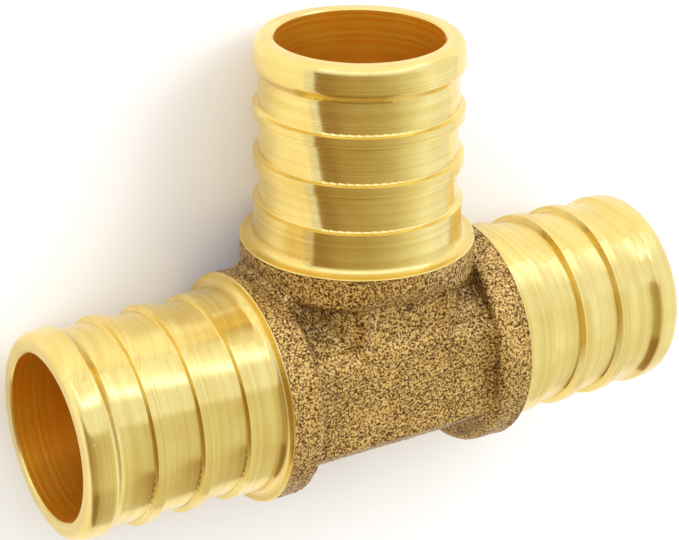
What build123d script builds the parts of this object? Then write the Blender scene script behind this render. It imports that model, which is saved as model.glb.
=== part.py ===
"""Brass tee for 1 in PEX tubing, joined with crimp rings.

One cast and turned piece: a faceted cast middle and three barbed ends that are turned bright.
Frame: origin where the two bores cross, run along X, branch along +Y, flats facing +Z and -Z.
All sizes are millimetres.
"""

import os

from build123d import *

os.makedirs("parts", exist_ok=True)

# Waterway
bore_radius = 8.8
mouth_chamfer = 0.2

# Barbed ends, measured from the open end towards the collar
barb_wall = 1.65
rib_height = 0.6
barb_length = 21.85
end_rib_width = 3.6
end_rib_lead = 0.2
end_rib_ramp = 0.8
end_rib_rounding = 1.0
end_ramp_rounding = 0.8
rib_count = 2
first_rib_start = 7.1
rib_pitch = 5.2
rib_width = 1.55
rib_front_ramp = 0.12
rib_back_ramp = 0.32
rib_foot_rounding = 0.2
shoulder_rounding = 0.9

# Cast collars
shoulder_width = 1.45
collar_width = 3.95
collar_edge_rounding = 0.12
collar_inner_rounding = 0.9

# Cast middle, eight-sided
flat_wall = 1.8
flat_width = 10.1
side_wall = 1.1
side_width = 7.9
facet_edge_rounding = 0.5
valley_rounding = 1.0
collar_gap = 1.0
web_rise = 1.55

# Sizes that follow
root_radius = bore_radius + barb_wall
crest_radius = root_radius + rib_height
collar_radius = crest_radius + shoulder_width
flat_reach = bore_radius + flat_wall
side_reach = bore_radius + side_wall
core_reach = side_reach + collar_gap
shoulder_reach = core_reach + collar_width
end_reach = shoulder_reach + barb_length
seat_start = first_rib_start + rib_count * rib_pitch
web_reach = core_reach + collar_inner_rounding


def rib_points(start):
    """Outline of one rib, as distance from the open end and radius."""
    return [
        (start, root_radius),
        (start + rib_front_ramp, crest_radius),
        (start + rib_width - rib_back_ramp, crest_radius),
        (start + rib_width, root_radius),
    ]


def outer_outline():
    """Outline of a barbed end and its collar, from the open end inwards."""
    points = [
        (0, crest_radius - end_rib_lead),
        (end_rib_width - end_rib_ramp, crest_radius),
        (end_rib_width, root_radius),
    ]
    for index in range(rib_count):
        points += rib_points(first_rib_start + index * rib_pitch)
    points += [
        (seat_start, root_radius),
        (seat_start + rib_front_ramp, crest_radius),
        (barb_length, crest_radius),
        (barb_length, collar_radius),
        (barb_length + collar_width, collar_radius),
    ]
    return points


def round_corner(sketch, distance, radius, rounding):
    """Round the outline's corner at this distance from the open end and this radius."""
    corner = sketch.vertices().sort_by_distance((end_reach - distance, radius))[0]
    fillet(corner, rounding)


def core_section(plane):
    """Eight-sided section of the cast middle, on the plane."""
    with BuildSketch(plane) as section:
        with BuildLine():
            Polyline(
                (0, flat_reach),
                (flat_width / 2, flat_reach),
                (side_reach, side_width / 2),
                (side_reach, 0),
            )
            mirror(about=Plane.XZ)
            mirror(about=Plane.YZ)
        make_face()
    return section.sketch


# One barbed end with its collar, lying along +X
with BuildPart() as barbed_end:
    with BuildSketch() as end_profile:
        with BuildLine():
            outline = [(end_reach - distance, radius) for distance, radius in outer_outline()]
            Polyline((end_reach, 0), *outline, (core_reach, 0), close=True)
        make_face()
        round_corner(end_profile, 0, crest_radius - end_rib_lead, end_rib_rounding)
        round_corner(end_profile, end_rib_width - end_rib_ramp, crest_radius, end_ramp_rounding)
        round_corner(end_profile, end_rib_width, root_radius, end_ramp_rounding)
        for index in range(rib_count + 1):
            rib_start = first_rib_start + index * rib_pitch
            round_corner(end_profile, rib_start, root_radius, rib_foot_rounding)
        round_corner(end_profile, barb_length, crest_radius, shoulder_rounding)
        round_corner(end_profile, barb_length, collar_radius, collar_edge_rounding)
        round_corner(end_profile, barb_length + collar_width, collar_radius, collar_inner_rounding)
    revolve(axis=Axis.X)

with BuildPart() as tee_body:
    extrude(core_section(Plane.YZ), amount=web_reach, both=True)
    extrude(core_section(Plane.XZ), amount=-web_reach)

    # The arms meet in a valley along each plane x = y or x = -y, and it is rounded out
    valleys = tee_body.edges().filter_by(
        lambda edge: all(abs(abs(end.X) - end.Y) < 0.001 for end in edge.vertices())
    )
    fillet(valleys, valley_rounding)

    # Creases around the two flats and along the underside, short of what the collars cover
    flats = tee_body.faces().filter_by(Axis.Z).group_by(Axis.Z)
    creases = (flats[0] + flats[-1]).edges().filter_by(
        lambda edge: max(abs(edge.center().X), edge.center().Y) < core_reach
    )
    fillet(creases, facet_edge_rounding)
    underside = tee_body.edges().filter_by(Axis.X).group_by(Axis.Y)[0]
    fillet(underside, facet_edge_rounding)

    # Web that closes the narrow slot left between the arms' sides and the collars
    Box(
        2 * web_reach,
        web_reach,
        side_width + 2 * web_rise,
        align=(Align.CENTER, Align.MIN, Align.CENTER),
    )
    for heading in (0, 90, 180):
        add(barbed_end.part, rotation=(0, 0, heading))

    # Run bore from end to end, and branch bore down to it
    with BuildSketch(Plane.YZ):
        Circle(bore_radius)
    extrude(amount=end_reach, both=True, mode=Mode.SUBTRACT)
    with BuildSketch(Plane.XZ):
        Circle(bore_radius)
    extrude(amount=-end_reach, mode=Mode.SUBTRACT)
    mouths = tee_body.edges().filter_by(GeomType.CIRCLE).filter_by(
        lambda edge: abs(edge.radius - bore_radius) < 0.001
    )
    chamfer(mouths, mouth_chamfer)

tee_body.part.label = "tee_body"
export_step(tee_body.part, "parts/tee_body.step")
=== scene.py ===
from math import cos, hypot, radians, sin

import bpy
from mathutils import Matrix, Vector


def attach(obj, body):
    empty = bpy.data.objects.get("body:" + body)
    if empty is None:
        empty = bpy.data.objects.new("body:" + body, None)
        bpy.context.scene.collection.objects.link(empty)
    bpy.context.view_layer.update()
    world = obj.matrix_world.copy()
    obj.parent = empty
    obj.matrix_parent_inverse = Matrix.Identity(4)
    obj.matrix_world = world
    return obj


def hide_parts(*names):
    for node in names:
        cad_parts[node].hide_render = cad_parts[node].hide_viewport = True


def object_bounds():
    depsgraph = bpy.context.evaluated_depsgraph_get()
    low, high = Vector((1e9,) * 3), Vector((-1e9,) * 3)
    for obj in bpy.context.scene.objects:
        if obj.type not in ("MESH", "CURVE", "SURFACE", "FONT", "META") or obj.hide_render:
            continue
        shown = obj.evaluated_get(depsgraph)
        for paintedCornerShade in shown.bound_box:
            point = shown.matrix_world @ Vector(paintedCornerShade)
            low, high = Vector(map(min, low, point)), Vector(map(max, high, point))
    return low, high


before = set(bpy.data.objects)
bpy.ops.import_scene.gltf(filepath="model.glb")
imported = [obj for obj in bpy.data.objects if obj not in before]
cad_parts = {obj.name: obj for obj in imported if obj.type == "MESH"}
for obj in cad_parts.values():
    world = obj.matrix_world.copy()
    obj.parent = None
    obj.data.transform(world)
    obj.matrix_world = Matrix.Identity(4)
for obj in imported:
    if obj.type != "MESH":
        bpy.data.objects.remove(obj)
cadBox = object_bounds()
mm = 0.001

# The tee lies flat, run along X, branch along +Y; sizes in metres
tee = {
    "boreRadius": 8.81 * mm,       # a hair over the CAD bore, so that the cut is clean at the mouths
    "barbLength": 21.85 * mm,
    "trimDepth": 0.1 * mm,         # the cast skin starts this far behind the turned shoulder
    "spigotLength": 0.7 * mm,      # turned ends reach this far into the casting
    "spigotTaper": 0.95,
    "boreSides": 160,
    "drillOverrun": 1 * mm,        # the drill comes out this far past each mouth
    "mergeReach": 0.0005 * mm,     # joins the loose triangles of the CAD node's copy
    "rimSlack": 0.01 * mm,         # how near its trim plane a rim lies
    "seamSlack": 0.02 * mm,        # how far over its edge a machined face may lie
    "sliver": 0.0001 * mm,
    "sharpAngle": radians(26),
}
endReach = cadBox[1].x
trimPlane = endReach - tee["barbLength"] - tee["trimDepth"]

# Each open end: direction of its axis
headings = {"left": Vector((-1, 0, 0)), "right": Vector((1, 0, 0)), "branch": Vector((0, 1, 0))}

casting = {
    "voxel": 0.22 * mm,
    "smoothing": 3,
    "lumpSize": 1.6 * mm,
    "lumpDepth": 0.06 * mm,
    "grainSize": 0.55 * mm,
    "grainDepth": 0.09 * mm,
    "overrun": 0.6 * mm,           # past the trim planes, where the remesh may round the rims
    "sinkDepth": 0.8 * mm,         # the branch's flat lies this far under the run's
    "sinkWidth": 8 * mm,
    "sinkStart": 6.9 * mm,
    "sinkEnd": 11.2 * mm,
    "faceLevel": 9.3 * mm,
    "pocketSpan": (7 * mm, 10 * mm),
    "pocketLevel": 4.5 * mm,
    "pocketFill": 1.1 * mm,
    "patchSlope": 2.0 * mm,        # how far both patches take to fade out
}


def deselectAll():
    if bpy.context.object and bpy.context.object.mode != "OBJECT":
        bpy.ops.object.mode_set(mode="OBJECT")
    bpy.ops.object.select_all(action="DESELECT")


def makeActive(piece):
    deselectAll()
    piece.select_set(True)
    bpy.context.view_layer.objects.active = piece


def editMesh(mode="FACE"):
    bpy.ops.object.mode_set(mode="EDIT")
    bpy.ops.mesh.select_mode(type=mode)
    bpy.ops.mesh.select_all(action="DESELECT")


def pick(parts, wanted):
    # Selects faces, edges or vertices in object mode; edit mode then starts with them
    for part in parts:
        part.select = wanted(part)


def copyNode(nodeName, pieceName):
    # The CAD node stays as it is; its copy gets its loose triangles merged
    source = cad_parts[nodeName]
    mesh = source.data.copy()
    mesh.materials.clear()
    piece = bpy.data.objects.new(pieceName, mesh)
    bpy.context.scene.collection.objects.link(piece)
    makeActive(piece)
    editMesh()
    bpy.ops.mesh.select_all(action="SELECT")
    bpy.ops.mesh.remove_doubles(threshold=tee["mergeReach"])
    bpy.ops.object.mode_set(mode="OBJECT")
    return piece


def cutAtPlanes(piece, **cut):
    makeActive(piece)
    for axis in headings.values():
        editMesh()
        bpy.ops.mesh.select_all(action="SELECT")
        bpy.ops.mesh.bisect(plane_co=axis * trimPlane, plane_no=axis, **cut)
        bpy.ops.object.mode_set(mode="OBJECT")


def deleteFaces(piece, unwanted):
    editMesh()
    bpy.ops.object.mode_set(mode="OBJECT")
    pick(piece.data.polygons, lambda face: unwanted(face.center))
    bpy.ops.object.mode_set(mode="EDIT")
    bpy.ops.mesh.delete(type="FACE")
    bpy.ops.object.mode_set(mode="OBJECT")


def inMiddle(point):
    return abs(point.x) < trimPlane and point.y < trimPlane


def onBore(point, slack=0):
    radius = tee["boreRadius"] + slack
    inRun = hypot(point.y, point.z) < radius
    inBranch = point.y > 0 and hypot(point.x, point.z) < radius
    return inRun or inBranch


def isTurned(point):
    return max(abs(point.x), point.y) > trimPlane - tee["seamSlack"]


def isBored(point):
    return onBore(point, tee["seamSlack"])


def selectOpenEdges():
    editMesh("EDGE")
    bpy.ops.mesh.select_non_manifold(
        extend=False, use_wire=False, use_multi_face=False, use_non_contiguous=False, use_verts=False
    )


def extrudeRims(piece, distance, taper):
    # Pull each rim at a trim plane along its axis, outwards for a positive distance
    for axis in headings.values():
        selectOpenEdges()
        bpy.ops.object.mode_set(mode="OBJECT")
        vertices = piece.data.vertices
        rim = set()
        for edge in piece.data.edges:
            middle = (vertices[edge.vertices[0]].co + vertices[edge.vertices[1]].co) / 2
            if abs(middle.dot(axis) - trimPlane) > tee["rimSlack"]:
                edge.select = False
            if edge.select:
                rim.update(edge.vertices)
        pick(vertices, lambda vertex: vertex.index in rim)
        bpy.ops.object.mode_set(mode="EDIT")
        bpy.ops.mesh.extrude_region_move(TRANSFORM_OT_translate={"value": axis * distance})
        across = [1 if part else taper for part in axis]
        bpy.ops.transform.resize(value=across, center_override=axis * trimPlane)
        bpy.ops.object.mode_set(mode="OBJECT")


def closeHoles():
    selectOpenEdges()
    bpy.ops.mesh.fill_holes(sides=0)
    bpy.ops.mesh.select_all(action="SELECT")
    bpy.ops.mesh.normals_make_consistent(inside=False)
    bpy.ops.object.mode_set(mode="OBJECT")


def applyModifier(piece, kind, name, **settings):
    modifier = piece.modifiers.new(name, kind)
    for setting, value in settings.items():
        setattr(modifier, setting, value)
    makeActive(piece)
    bpy.ops.object.modifier_apply(modifier=name)


def makeTurnedEnds():
    ends = copyNode("tee_body", "tee")
    cutAtPlanes(ends)
    deleteFaces(ends, lambda point: inMiddle(point) or onBore(point))
    extrudeRims(ends, -tee["spigotLength"], tee["spigotTaper"])
    closeHoles()
    print("turned ends,", len(ends.data.polygons), "faces")
    return ends


def pushPatch(piece, inPatch, lift):
    # Moves a patch of the front and back faces in or out, fading round it
    for side in (1, -1):
        editMesh("VERT")
        bpy.ops.object.mode_set(mode="OBJECT")
        pick(piece.data.vertices, lambda vertex: inPatch(abs(vertex.co.x), vertex.co.y, side * vertex.co.z))
        bpy.ops.object.mode_set(mode="EDIT")
        bpy.ops.transform.translate(
            value=(0, 0, side * lift),
            use_proportional_edit=True,
            proportional_edit_falloff="SMOOTH",
            proportional_size=casting["patchSlope"],
        )
        bpy.ops.object.mode_set(mode="OBJECT")


def onBranchFlat(x, y, z):
    alongBranch = casting["sinkStart"] < y < casting["sinkEnd"]
    return x < casting["sinkWidth"] / 2 and alongBranch and z > casting["faceLevel"]


def inPocket(x, y, z):
    low, high = casting["pocketSpan"]
    return low < x < high and low < y < high and z > casting["pocketLevel"]


def roughen(piece, name, size, depth, **settings):
    # Presses a cloudy pattern into the skin, never out of it
    clouds = bpy.data.textures.new(name, "CLOUDS")
    clouds.noise_scale = size
    for setting, value in settings.items():
        setattr(clouds, setting, value)
    applyModifier(piece, "DISPLACE", name, texture=clouds, mid_level=1, strength=depth,
                  texture_coords="LOCAL")


def makeCasting():
    middle = copyNode("tee_body", "castMiddle")
    cutAtPlanes(middle)
    deleteFaces(middle, lambda point: not inMiddle(point) or onBore(point))
    extrudeRims(middle, casting["overrun"], 1)
    closeHoles()
    applyModifier(middle, "REMESH", "sandMould", mode="VOXEL", voxel_size=casting["voxel"])
    pushPatch(middle, onBranchFlat, -casting["sinkDepth"])
    pushPatch(middle, inPocket, casting["pocketFill"])
    applyModifier(middle, "SMOOTH", "softEdges", factor=0.5, iterations=casting["smoothing"])
    roughen(middle, "lumps", casting["lumpSize"], casting["lumpDepth"], noise_depth=1)
    roughen(middle, "grain", casting["grainSize"], casting["grainDepth"], noise_depth=0,
            noise_type="HARD_NOISE")
    cutAtPlanes(middle, clear_outer=True, use_fill=True)
    print("cast middle,", len(middle.data.polygons), "faces")
    return middle


def boreThrough(piece):
    reach = endReach + tee["drillOverrun"]
    left, right, branch = (heading * reach for heading in headings.values())
    for start, end in ((left, right), (Vector((0, 0, 0)), branch)):
        along = end - start
        deselectAll()
        bpy.ops.mesh.primitive_cylinder_add(
            vertices=tee["boreSides"],
            radius=tee["boreRadius"],
            depth=along.length,
            location=(start + end) / 2,
            rotation=along.to_track_quat("Z", "X").to_euler(),
        )
        drill = bpy.context.object
        applyModifier(piece, "BOOLEAN", "drill", object=drill, operation="DIFFERENCE", solver="MANIFOLD")
        bpy.data.objects.remove(drill)
        print("bored,", len(piece.data.polygons), "faces")


def cleanMesh(piece):
    # Merges points that the cuts leave almost together; some slivers and open edges are left by it
    makeActive(piece)
    editMesh("VERT")
    bpy.ops.mesh.select_all(action="SELECT")
    bpy.ops.mesh.remove_doubles(threshold=tee["sliver"])
    bpy.ops.mesh.select_all(action="SELECT")
    bpy.ops.mesh.dissolve_degenerate(threshold=tee["sliver"])
    bpy.ops.object.mode_set(mode="OBJECT")


def markEdges(piece):
    # Machined surfaces keep their crisp edges; the cast skin stays smooth
    makeActive(piece)
    bpy.ops.object.mode_set(mode="EDIT")
    bpy.ops.mesh.customdata_custom_splitnormals_clear()
    bpy.ops.mesh.select_mode(type="FACE")
    bpy.ops.mesh.select_all(action="SELECT")
    bpy.ops.mesh.normals_make_consistent(inside=False)
    bpy.ops.mesh.faces_shade_smooth()
    bpy.ops.mesh.select_all(action="DESELECT")
    bpy.ops.object.mode_set(mode="OBJECT")
    pick(piece.data.polygons, lambda face: not (isTurned(face.center) or isBored(face.center)))
    bpy.ops.object.mode_set(mode="EDIT")
    bpy.ops.mesh.hide(unselected=False)
    bpy.ops.mesh.select_mode(type="EDGE")
    bpy.ops.mesh.edges_select_sharp(sharpness=tee["sharpAngle"])
    bpy.ops.mesh.mark_sharp()
    bpy.ops.mesh.reveal(select=False)
    bpy.ops.object.mode_set(mode="OBJECT")


def shareMaterials(piece):
    # Run and branch each have their own turned and bored brass, as its lines go round their axis
    runAxis, branchAxis = (1, 0, 0), (0, 1, 0)
    finishes = {
        "turnedRun": turnedBrass("turnedBrassRun", runAxis, turned),
        "turnedBranch": turnedBrass("turnedBrassBranch", branchAxis, turned),
        "boredRun": turnedBrass("boredBrassRun", runAxis, bored),
        "boredBranch": turnedBrass("boredBrassBranch", branchAxis, bored),
        "cast": sandCastBrass(),
    }
    piece.data.materials.clear()
    for material in finishes.values():
        piece.data.materials.append(material)
    slots = {finish: slot for slot, finish in enumerate(finishes)}
    for face in piece.data.polygons:
        point = face.center
        arm = "Branch" if point.y > tee["boreRadius"] else "Run"
        if isBored(point):
            face.material_index = slots["bored" + arm]
        elif isTurned(point):
            face.material_index = slots["turned" + arm]
        else:
            face.material_index = slots["cast"]


def colour(hexCode):
    # sRGB hex to the linear colour that shaders take
    parts = [int(hexCode[i:i + 2], 16) / 255 for i in (1, 3, 5)]
    return [v / 12.92 if v <= 0.04045 else ((v + 0.055) / 1.055) ** 2.4 for v in parts] + [1]


# Colour sockets of the Mix node, which share their names with its number sockets
mixFirst, mixSecond, mixResult = 6, 7, 2


def addNode(tree, kind, inputs, **settings):
    node = tree.nodes.new(kind)
    for setting, value in settings.items():
        setattr(node, setting, value)
    for socket, value in inputs.items():
        if isinstance(value, bpy.types.NodeSocket):
            tree.links.new(value, node.inputs[socket])
        else:
            node.inputs[socket].default_value = value
    return node


def setStops(ramp, stops):
    elements = ramp.color_ramp.elements
    while len(elements) < len(stops):
        elements.new(0.5)
    for element, (place, shade) in zip(elements, stops):
        element.position = place
        element.color = shade


def newMaterial(name):
    material = bpy.data.materials.new(name)
    material.use_nodes = True
    tree = material.node_tree
    tree.nodes.clear()
    return material, tree


def turningDistance(tree, place, axis):
    # Distance travelled by the lathe tool: along the axis plus out from it
    along = addNode(tree, "ShaderNodeVectorMath", {0: place, 1: axis}, operation="DOT_PRODUCT")
    across = [1 - part for part in axis]
    outward = addNode(tree, "ShaderNodeVectorMath", {0: place, 1: across}, operation="MULTIPLY")
    radius = addNode(tree, "ShaderNodeVectorMath", {0: outward.outputs["Vector"]}, operation="LENGTH")
    distance = addNode(tree, "ShaderNodeMath", {0: along.outputs["Value"]}, operation="ABSOLUTE")
    total = addNode(tree, "ShaderNodeMath", {0: distance.outputs[0], 1: radius.outputs["Value"]},
                    operation="ADD")
    return total.outputs[0]


turned = {
    "colour": "#F3DC8A",
    "deepColour": "#E8CB74",
    "bareMetal": 1,
    "roughness": 0.17,
    "roughnessSpread": 0.06,
    "stretch": 0.9,
    "feed": 0.14 * mm,           # distance between tool lines
    "lineDepth": 0.0012 * mm,
}

# Painted reflection: the bores' deeper amber colours stand in for light bounced from wall to wall inside them
bored = {
    "colour": "#FFD042",
    "deepColour": "#FFBC2C",
    "bareMetal": 0.9,            # the rest stands for light scattered from wall to wall
    "roughness": 0.28,
    "roughnessSpread": 0.1,
    "stretch": 0.6,
    "feed": 0.35 * mm,
    "lineDepth": 0.006 * mm,
}

toolMarks = {
    "bandWidth": 0.8 * mm,       # groups of lines that differ a little in tint
    "smearSize": 4 * mm,
    "lineShare": 0.5,            # part of the tint that follows single lines
    "tintRange": (0.38, 0.62),
    "roughnessRange": (0.3, 0.7),
    "stretchTurn": 0.25,         # a quarter turn, from round the axis to along it
}


def turnedBrass(name, axis, finish):
    # Turned brass: clean yellow metal with fine lines round the axis, which draw each highlight out along it
    material, tree = newMaterial(name)
    place = addNode(tree, "ShaderNodeTexCoord", {}).outputs["Object"]
    distance = turningDistance(tree, place, axis)
    tangent = addNode(tree, "ShaderNodeVectorMath", {0: axis, 1: place}, operation="CROSS_PRODUCT")
    around = addNode(tree, "ShaderNodeVectorMath", {0: tangent.outputs["Vector"]}, operation="NORMALIZE")
    toolLines = addNode(tree, "ShaderNodeTexNoise", {"W": distance, "Scale": 1 / finish["feed"], "Detail": 2},
                        noise_dimensions="1D")
    bands = addNode(tree, "ShaderNodeTexNoise",
                    {"W": distance, "Scale": 1 / toolMarks["bandWidth"], "Detail": 2}, noise_dimensions="1D")
    smears = addNode(tree, "ShaderNodeTexNoise",
                     {"Vector": place, "Scale": 1 / toolMarks["smearSize"], "Detail": 2})
    mixing = addNode(tree, "ShaderNodeMath", {0: bands.outputs["Fac"], 1: smears.outputs["Fac"]},
                     operation="MULTIPLY")
    lined = addNode(tree, "ShaderNodeMath",
                    {0: toolLines.outputs["Fac"], 1: toolMarks["lineShare"], 2: mixing.outputs[0]},
                    operation="MULTIPLY_ADD")
    low, high = toolMarks["tintRange"]
    tint = addNode(tree, "ShaderNodeMapRange",
                   {"Value": lined.outputs[0], "From Min": low, "From Max": high, "To Min": 0, "To Max": 1})
    base = addNode(tree, "ShaderNodeMix",
                   {"Factor": tint.outputs["Result"], mixFirst: colour(finish["deepColour"]),
                    mixSecond: colour(finish["colour"])}, data_type="RGBA")
    low, high = toolMarks["roughnessRange"]
    roughest = finish["roughness"] + finish["roughnessSpread"]
    roughness = addNode(tree, "ShaderNodeMapRange",
                        {"Value": toolLines.outputs["Fac"], "From Min": low, "From Max": high,
                         "To Min": finish["roughness"], "To Max": roughest})
    bump = addNode(tree, "ShaderNodeBump",
                   {"Height": toolLines.outputs["Fac"], "Distance": finish["lineDepth"], "Strength": 1})
    surface = addNode(tree, "ShaderNodeBsdfPrincipled",
                      {"Base Color": base.outputs[mixResult], "Metallic": finish["bareMetal"],
                       "Roughness": roughness.outputs["Result"], "Anisotropic": finish["stretch"],
                       "Anisotropic Rotation": toolMarks["stretchTurn"], "Tangent": around.outputs["Vector"],
                       "Normal": bump.outputs["Normal"]})
    addNode(tree, "ShaderNodeOutputMaterial", {"Surface": surface.outputs["BSDF"]})
    return material


sandCast = {
    "shades": {0.45: "#553610", 0.54: "#A07834", 0.67: "#DEBA6E"},    # pits, body and crests of the grain
    "grain": 0.24 * mm,
    "grainDetail": 1.5,
    "grainDistortion": 0.5,
    "grainRange": (0.35, 0.65),
    "grainDepth": 0.08 * mm,
    "grainStrength": 0.7,
    "patchSize": 3.5 * mm,
    "patchShare": 0.12,
    "roughness": (0.6, 0.4),     # in the pits and on the crests
    "bareMetal": 0.55,           # the rest is dull oxide
    # Painted shade: the colour and settings that darken corners and creases
    "shadow": "#6E5232",
    "shadowReach": 5 * mm,
    "shadowRange": (0.5, 0.93),
    "shadowDepth": 0.55,
    "shadowSamples": 12,
}


def sandCastBrass():
    # Sand-cast brass: dull brown skin in the pits and brighter metal on the crests of a coarse grain
    material, tree = newMaterial("sandCastBrass")
    place = addNode(tree, "ShaderNodeTexCoord", {}).outputs["Object"]
    grain = addNode(tree, "ShaderNodeTexNoise",
                    {"Vector": place, "Scale": 1 / sandCast["grain"], "Detail": sandCast["grainDetail"],
                     "Distortion": sandCast["grainDistortion"]})
    patches = addNode(tree, "ShaderNodeTexNoise",
                      {"Vector": place, "Scale": 1 / sandCast["patchSize"], "Detail": 2})
    blend = addNode(tree, "ShaderNodeMath",
                    {0: patches.outputs["Fac"], 1: sandCast["patchShare"], 2: grain.outputs["Fac"]},
                    operation="MULTIPLY_ADD")
    shade = addNode(tree, "ShaderNodeValToRGB", {"Fac": blend.outputs[0]})
    setStops(shade, [(height, colour(hexCode)) for height, hexCode in sandCast["shades"].items()])
    # Painted shade: ambient occlusion darkens corners and creases by multiplying a shadow colour into the
    # base colour
    openness = addNode(tree, "ShaderNodeAmbientOcclusion", {"Distance": sandCast["shadowReach"]},
                       samples=sandCast["shadowSamples"], only_local=True)
    low, high = sandCast["shadowRange"]
    paintedCornerShade = addNode(tree, "ShaderNodeMapRange",
                     {"Value": openness.outputs["AO"], "From Min": low, "From Max": high,
                      "To Min": sandCast["shadowDepth"], "To Max": 0})
    base = addNode(tree, "ShaderNodeMix",
                   {"Factor": paintedCornerShade.outputs["Result"], mixFirst: shade.outputs["Color"],
                    mixSecond: colour(sandCast["shadow"])}, data_type="RGBA", blend_type="MULTIPLY")
    low, high = sandCast["grainRange"]
    inPits, onCrests = sandCast["roughness"]
    roughness = addNode(tree, "ShaderNodeMapRange",
                        {"Value": grain.outputs["Fac"], "From Min": low, "From Max": high,
                         "To Min": inPits, "To Max": onCrests})
    bump = addNode(tree, "ShaderNodeBump",
                   {"Height": grain.outputs["Fac"], "Distance": sandCast["grainDepth"],
                    "Strength": sandCast["grainStrength"]})
    surface = addNode(tree, "ShaderNodeBsdfPrincipled",
                      {"Base Color": base.outputs[mixResult], "Metallic": sandCast["bareMetal"],
                       "Roughness": roughness.outputs["Result"], "Normal": bump.outputs["Normal"]})
    addNode(tree, "ShaderNodeOutputMaterial", {"Surface": surface.outputs["BSDF"]})
    return material


cameraSetup = {
    "place": (-0.10710, 0.10286, 0.17080),
    "forward": (0.47587, -0.41737, -0.77417),
    "up": (0.20839, 0.90867, -0.36179),
    "focalLength": 109.7,
    "sensorWidth": 36.0,
}


def makeCamera(setup):
    forward = Vector(setup["forward"]).normalized()
    right = forward.cross(Vector(setup["up"])).normalized()
    up = right.cross(forward)
    data = bpy.data.cameras.new("camera")
    data.lens = setup["focalLength"]
    data.sensor_width = setup["sensorWidth"]
    camera = bpy.data.objects.new("camera", data)
    turn = Matrix((right, up, -forward)).transposed().to_4x4()
    camera.matrix_world = Matrix.Translation(setup["place"]) @ turn
    bpy.context.scene.collection.objects.link(camera)
    bpy.context.scene.camera = camera


paper = {
    "size": 3,
    "gap": 0.2 * mm,             # under the tee
    "colour": "#F8F8F7",
    "roughness": 0.9,
    "gloss": 0.2,
}


def makeFloor():
    deselectAll()
    bpy.ops.mesh.primitive_plane_add(size=paper["size"], location=(0, 0, cadBox[0].z - paper["gap"]))
    floor = bpy.context.object
    floor.name = "floor"
    # White paper: matt and even, so that it shows nothing but soft shadow
    material, tree = newMaterial("whitePaper")
    surface = addNode(tree, "ShaderNodeBsdfPrincipled",
                      {"Base Color": colour(paper["colour"]), "Roughness": paper["roughness"],
                       "Specular IOR Level": paper["gloss"]})
    addNode(tree, "ShaderNodeOutputMaterial", {"Surface": surface.outputs["BSDF"]})
    floor.data.materials.append(material)


studio = {
    "wall": (1.04, 1.1, 1.3, 1),         # brightness of the room around the tee
    "leftWall": (0.98, 1.04, 1.3, 1),    # white card to the left
    "window": (1.15, 1.2, 1.3, 1),       # softbox behind, towards +Y
    "tube": (2.0, 2.2, 3.2, 1),          # bright tube in the softbox
    "underside": (0.6, 0.45, 0.3, 1),    # how much darker the board is low down
    "boardEdge": (sin(radians(10)), 0, cos(radians(10))),
    # Tan board in front, from its dark left edge to where it fades into the room
    "board": [
        (0.06, [0.36, 0.24, 0.10, 1]),
        (0.12, [0.48, 0.37, 0.2, 1]),
        (0.35, [0.54, 0.46, 0.29, 1]),
        (0.55, [0.66, 0.6, 0.45, 1]),
        (0.74, [0.9, 0.89, 0.8, 1]),
        (0.88, [1.1, 1.18, 1.4, 1]),
    ],
    # Where each part fades: the direction, its two limits, and how much shows at each
    "fades": {
        "boardLeft": ("edge", -0.004, 0.004, 0, 1),
        "boardRight": ("X", 0.7, 0.9, 1, 0),
        "boardTop": ("Y", 0.3, 0.4, 1, 0),
        "boardFront": ("Z", -0.1, 0, 0, 1),
        "leftWall": ("X", -0.6, -0.7, 0, 1),
        "window": ("Y", 0.7, 0.74, 0, 1),
        "tubeLow": ("Y", 0.745, 0.765, 0, 1),
        "tubeHigh": ("Y", 0.83, 0.86, 1, 0),
        "lowDown": ("Y", -0.72, -0.58, 1, 0),
        "lowLeft": ("X", 0.1, 0.35, 1, 0),
    },
    # Parts that show where two fades meet
    "overlaps": {
        "boardAcross": ("boardLeft", "boardRight"),
        "boardUp": ("boardTop", "boardFront"),
        "board": ("boardAcross", "boardUp"),
        "tube": ("tubeLow", "tubeHigh"),
        "underside": ("lowDown", "lowLeft"),
    },
}


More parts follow.
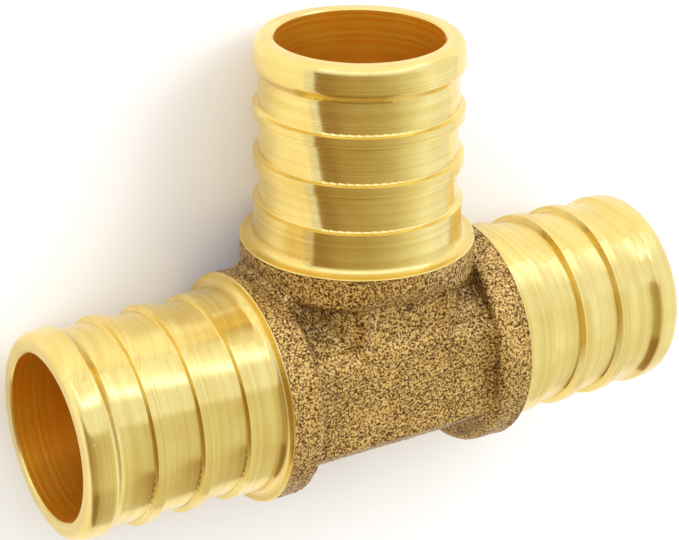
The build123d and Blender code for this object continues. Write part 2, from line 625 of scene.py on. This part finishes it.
def makeRoom():
    # Soft studio: white room, a bright softbox behind the branch and a tan board beyond the camera
    world = bpy.data.worlds.new("studio")
    bpy.context.scene.world = world
    world.use_nodes = True
    tree = world.node_tree
    tree.nodes.clear()
    direction = addNode(tree, "ShaderNodeTexCoord", {}).outputs["Generated"]
    axes = addNode(tree, "ShaderNodeSeparateXYZ", {"Vector": direction})
    boardSide = addNode(tree, "ShaderNodeVectorMath", {0: direction, 1: studio["boardEdge"]},
                        operation="DOT_PRODUCT")
    ways = {"X": axes.outputs["X"], "Y": axes.outputs["Y"], "Z": axes.outputs["Z"],
            "edge": boardSide.outputs["Value"]}
    shown = {}
    for part, (way, low, high, start, end) in studio["fades"].items():
        fade = addNode(tree, "ShaderNodeMapRange",
                       {"Value": ways[way], "From Min": low, "From Max": high,
                        "To Min": start, "To Max": end}, interpolation_type="SMOOTHSTEP")
        shown[part] = fade.outputs["Result"]
    for part, (first, second) in studio["overlaps"].items():
        overlap = addNode(tree, "ShaderNodeMath", {0: shown[first], 1: shown[second]}, operation="MULTIPLY")
        shown[part] = overlap.outputs[0]
    alongBoard = addNode(tree, "ShaderNodeMapRange", {"Value": ways["X"], "From Min": -1, "From Max": 1})
    tan = addNode(tree, "ShaderNodeValToRGB", {"Fac": alongBoard.outputs["Result"]})
    setStops(tan, studio["board"])
    board = addNode(tree, "ShaderNodeMix",
                    {"Factor": shown["underside"], mixFirst: tan.outputs["Color"],
                     mixSecond: studio["underside"]}, data_type="RGBA", blend_type="MULTIPLY")
    layers = {"leftWall": studio["leftWall"], "board": board.outputs[mixResult],
              "window": studio["window"], "tube": studio["tube"]}
    room = studio["wall"]
    for part, shade in layers.items():
        layer = addNode(tree, "ShaderNodeMix", {"Factor": shown[part], mixFirst: room, mixSecond: shade},
                        data_type="RGBA")
        room = layer.outputs[mixResult]
    light = addNode(tree, "ShaderNodeBackground", {"Color": room, "Strength": 1})
    addNode(tree, "ShaderNodeOutputWorld", {"Surface": light.outputs["Background"]})


# Lamps for the paper and for what is dull on the brass; they stay out of the reflections
lamps = {
    "key": {"place": (0.35, 0.36, 0.42), "size": 0.4, "power": 1.9},
    "leftSide": {"place": (-0.55, 0.0, 0.35), "size": 0.6, "power": 1.5},
    "leftBack": {"place": (-0.3, 0.45, 0.3), "size": 0.5, "power": 0.7},
}


def makeLamps():
    for name, lamp in lamps.items():
        data = bpy.data.lights.new(name, "AREA")
        data.size = lamp["size"]
        data.energy = lamp["power"]
        light = bpy.data.objects.new(name, data)
        light.location = lamp["place"]
        light.rotation_euler = (-Vector(lamp["place"])).to_track_quat("-Z", "Y").to_euler()
        light.visible_glossy = False
        bpy.context.scene.collection.objects.link(light)


teePiece = makeTurnedEnds()
middle = makeCasting()
applyModifier(teePiece, "BOOLEAN", "join", object=middle, operation="UNION", solver="MANIFOLD")
bpy.data.objects.remove(middle)
boreThrough(teePiece)
cleanMesh(teePiece)
teePiece.name = "brassTee"
markEdges(teePiece)
shareMaterials(teePiece)
triangles = sum(len(face.vertices) - 2 for face in teePiece.data.polygons)
print("tee done,", triangles, "triangles")

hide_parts("tee_body")
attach(teePiece, "root")

makeCamera(cameraSetup)
makeFloor()
makeRoom()
makeLamps()
bpy.context.scene.view_settings.view_transform = "Standard"
print("camera, floor and light done")
